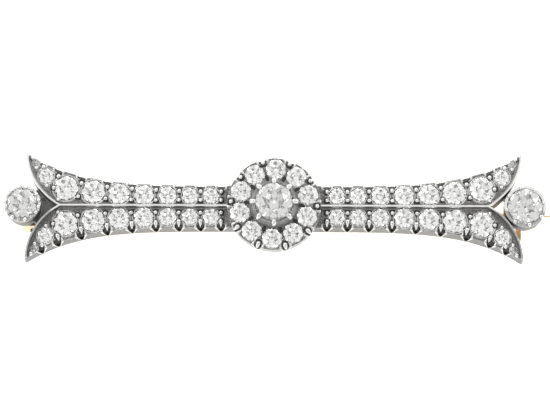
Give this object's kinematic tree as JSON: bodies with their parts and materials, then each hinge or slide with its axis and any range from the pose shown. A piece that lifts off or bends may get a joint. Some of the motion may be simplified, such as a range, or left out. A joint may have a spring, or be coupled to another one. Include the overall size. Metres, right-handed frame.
{
  "type": "bar brooch",
  "caption": "Bar brooch with two flared fishtail arms of set stones either side of a domed round cluster, stones at both ends, and a hinged pin with a turning catch behind.",
  "frame": {"origin": "on the surface that the brooch lies on, below the middle of its whole length with the pin's tip", "axes": "+X along the bar towards the catch, +Y towards the top edge of the bar, +Z towards the face"},
  "size_m": [0.0636, 0.0126, 0.0099],
  "materials": {
    "silver": "antique silver, darkened in the recesses and polished on the grains and edges",
    "gold": "polished gold",
    "diamond": "old-cut faceted stones"
  },
  "bodies": {
    "brooch": {"gold_back": "gold", "hinge_rivet": "gold", "left_arm": "silver", "right_arm": "silver", "cluster_mount": "silver", "centre_stone": "diamond", "ring_stone_01": "diamond", "ring_stone_02": "diamond", "ring_stone_03": "diamond", "ring_stone_04": "diamond", "ring_stone_05": "diamond", "ring_stone_06": "diamond", "ring_stone_07": "diamond", "ring_stone_08": "diamond", "ring_stone_09": "diamond", "ring_stone_10": "diamond", "left_end_stone": "diamond", "right_end_stone": "diamond", "left_top_stone_1": "diamond", "left_top_stone_2": "diamond", "left_top_stone_3": "diamond", "left_top_stone_4": "diamond", "left_top_stone_5": "diamond", "left_top_stone_6": "diamond", "left_top_stone_7": "diamond", "left_low_stone_1": "diamond", "left_low_stone_2": "diamond", "left_low_stone_3": "diamond", "left_low_stone_4": "diamond", "left_low_stone_5": "diamond", "left_low_stone_6": "diamond", "left_low_stone_7": "diamond", "right_top_stone_1": "diamond", "right_top_stone_2": "diamond", "right_top_stone_3": "diamond", "right_top_stone_4": "diamond", "right_top_stone_5": "diamond", "right_top_stone_6": "diamond", "right_top_stone_7": "diamond", "right_low_stone_1": "diamond", "right_low_stone_2": "diamond", "right_low_stone_3": "diamond", "right_low_stone_4": "diamond", "right_low_stone_5": "diamond", "right_low_stone_6": "diamond", "right_low_stone_7": "diamond", "left_tail_stones": "diamond", "right_tail_stones": "diamond"},
    "pin": {"pin": "gold"},
    "catch_sleeve": {"catch_sleeve": "gold"}
  },
  "joints": [
    {"name": "pin_swing", "type": "hinge", "parent": "brooch", "child": "pin", "pos_m": [-0.02862, 0, 0.0013], "axis": [0, 1, 0], "range_deg": [0, 90]},
    {"name": "catch_turn", "type": "hinge", "parent": "brooch", "child": "catch_sleeve", "pos_m": [0.02814, 0, 0.0013], "axis": [1, 0, 0], "range_deg": [0, 165]}
  ]
}
